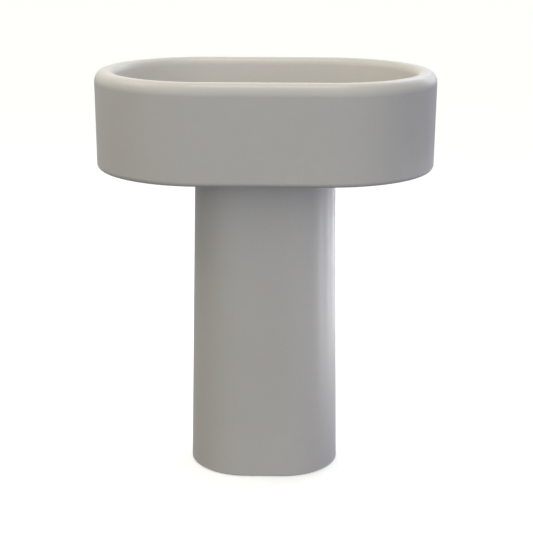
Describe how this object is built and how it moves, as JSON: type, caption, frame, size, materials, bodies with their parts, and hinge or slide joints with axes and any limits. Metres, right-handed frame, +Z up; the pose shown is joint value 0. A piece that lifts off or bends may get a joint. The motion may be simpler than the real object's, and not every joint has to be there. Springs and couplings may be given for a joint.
{
  "type": "pedestal sink",
  "caption": "Oval pedestal sink: a deep round-rimmed basin on a tapered hollow oval column, with a push-to-close plug, a bottle trap and an outlet pipe at the back.",
  "frame": {"origin": "middle of the foot, on the floor", "axes": "+Z up, +Y towards the wall behind, +X to the right of someone standing at the basin"},
  "size_m": [0.6998, 0.45, 0.85],
  "materials": {
    "basin": "satin",
    "column": "satin",
    "sealant": "satin",
    "chrome_fitting": "polished",
    "brass_fitting": "satin",
    "steel_fixing": "satin",
    "rubber_seal": "matte",
    "plastic_washer": "matte",
    "cartridge": "satin"
  },
  "bodies": {
    "pedestal": {"basin": "basin", "column": "column", "floor_seal": "sealant", "basin_seal": "sealant", "basin_inserts": "brass_fitting", "basin_bolts": "steel_fixing", "bolt_washers": "steel_fixing", "floor_bushes": "brass_fitting", "waste_body": "chrome_fitting", "flange_seal": "rubber_seal", "lower_seal": "rubber_seal", "slip_washer": "plastic_washer", "waste_backnut": "brass_fitting", "click_cartridge": "cartridge", "click_spring": "steel_fixing", "inlet_tube": "chrome_fitting", "tail_washer": "rubber_seal", "tail_nut": "chrome_fitting", "trap_body": "chrome_fitting", "trap_top_nut": "chrome_fitting", "trap_top_seal": "rubber_seal", "outlet_nut": "chrome_fitting", "outlet_seal": "rubber_seal", "outlet_pipe": "chrome_fitting"},
    "stem": {"plug_stem": "steel_fixing"},
    "plug": {"plug_cap": "chrome_fitting", "plug_seal": "rubber_seal"},
    "cup": {"trap_cup": "chrome_fitting", "cup_seal": "rubber_seal"},
    "rosette": {"wall_flange": "chrome_fitting"}
  },
  "joints": [
    {"name": "plug_press", "type": "slide", "parent": "pedestal", "child": "stem", "axis": [0, 0, 1], "range_m": [-0.009, 0], "stiffness_N_per_m": 500, "springref_m": 0.006, "deforming": ["click_spring"]},
    {"name": "plug_cap_lift", "type": "slide", "parent": "stem", "child": "plug", "axis": [0, 0, 1], "range_m": [0, 0.06]},
    {"name": "trap_cup_drop", "type": "slide", "parent": "pedestal", "child": "cup", "axis": [0, 0, 1], "range_m": [-0.1, 0]},
    {"name": "wall_flange_slide", "type": "slide", "parent": "pedestal", "child": "rosette", "axis": [0, 1, 0], "range_m": [-0.1, 0.03]}
  ]
}
